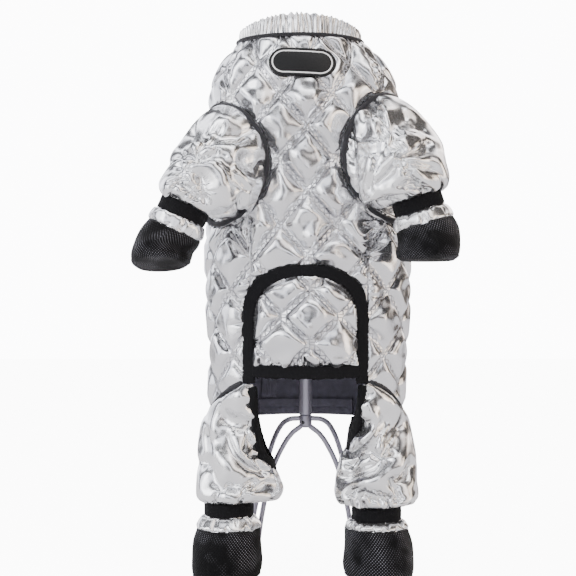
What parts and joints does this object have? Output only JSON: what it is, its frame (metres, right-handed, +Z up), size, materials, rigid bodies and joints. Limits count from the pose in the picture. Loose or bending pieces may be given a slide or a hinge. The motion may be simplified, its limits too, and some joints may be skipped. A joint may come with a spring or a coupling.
{
  "type": "dog jumpsuit on display stand",
  "caption": "Quilted metallic dog jumpsuit with sleeves, cuffs and mesh boots, belly flap edged in black tape, upright on a plain wire display stand.",
  "frame": {"origin": "under the middle of the whole, on the surface that it stands on", "axes": "+Z up along the body, from the hind boots to the collar; the belly faces -Y; +X is the right side as seen from the belly"},
  "size_m": [0.2394, 0.157, 0.4268],
  "materials": {
    "quilted_silver_cloth": "quilted metallic silver cloth, glossy, silver stitching in diamonds",
    "plain_silver_cloth": "plain metallic silver cloth, glossy and creased",
    "dark_piping": "dark grey reflective piping, satin",
    "black_elastic": "black ribbed elastic tape, matt",
    "boot_mesh": "black coated mesh with fine raised light dots, matt",
    "grey_lining": "grey woven lining, satin",
    "black_patch": "black soft patch with a white inset line, matt",
    "stand_metal": "grey painted tube and wire, satin",
    "stand_foot_rubber": "grey rubber, matt"
  },
  "bodies": {
    "root": {"chest_panel": "quilted_silver_cloth", "back_shell": "quilted_silver_cloth", "collar": "plain_silver_cloth", "collar_piping": "dark_piping", "label_patch": "black_patch", "arch_binding": "black_elastic", "cross_band": "black_elastic", "belly_flap": "quilted_silver_cloth", "lining": "grey_lining", "lining_facing": "grey_lining", "rear_hem": "grey_lining", "armhole_piping_left": "dark_piping", "sleeve_left": "plain_silver_cloth", "hip_piping_left": "dark_piping", "hind_leg_left": "plain_silver_cloth", "leg_binding_left": "black_elastic", "front_cuff_left": "black_elastic", "front_boot_top_left": "plain_silver_cloth", "front_boot_left": "boot_mesh", "hind_cuff_left": "black_elastic", "hind_boot_top_left": "plain_silver_cloth", "hind_boot_left": "boot_mesh", "armhole_piping_right": "dark_piping", "sleeve_right": "plain_silver_cloth", "hip_piping_right": "dark_piping", "hind_leg_right": "plain_silver_cloth", "leg_binding_right": "black_elastic", "front_cuff_right": "black_elastic", "front_boot_top_right": "plain_silver_cloth", "front_boot_right": "boot_mesh", "hind_cuff_right": "black_elastic", "hind_boot_top_right": "plain_silver_cloth", "hind_boot_right": "boot_mesh", "stand_pole": "stand_metal", "stand_hub": "stand_metal", "stand_yoke": "stand_metal", "stand_leg_front_left": "stand_metal", "stand_foot_front_left": "stand_foot_rubber", "stand_leg_back_left": "stand_metal", "stand_foot_back_left": "stand_foot_rubber", "stand_leg_front_right": "stand_metal", "stand_foot_front_right": "stand_foot_rubber", "stand_leg_back_right": "stand_metal", "stand_foot_back_right": "stand_foot_rubber"}
  },
  "joints": []
}
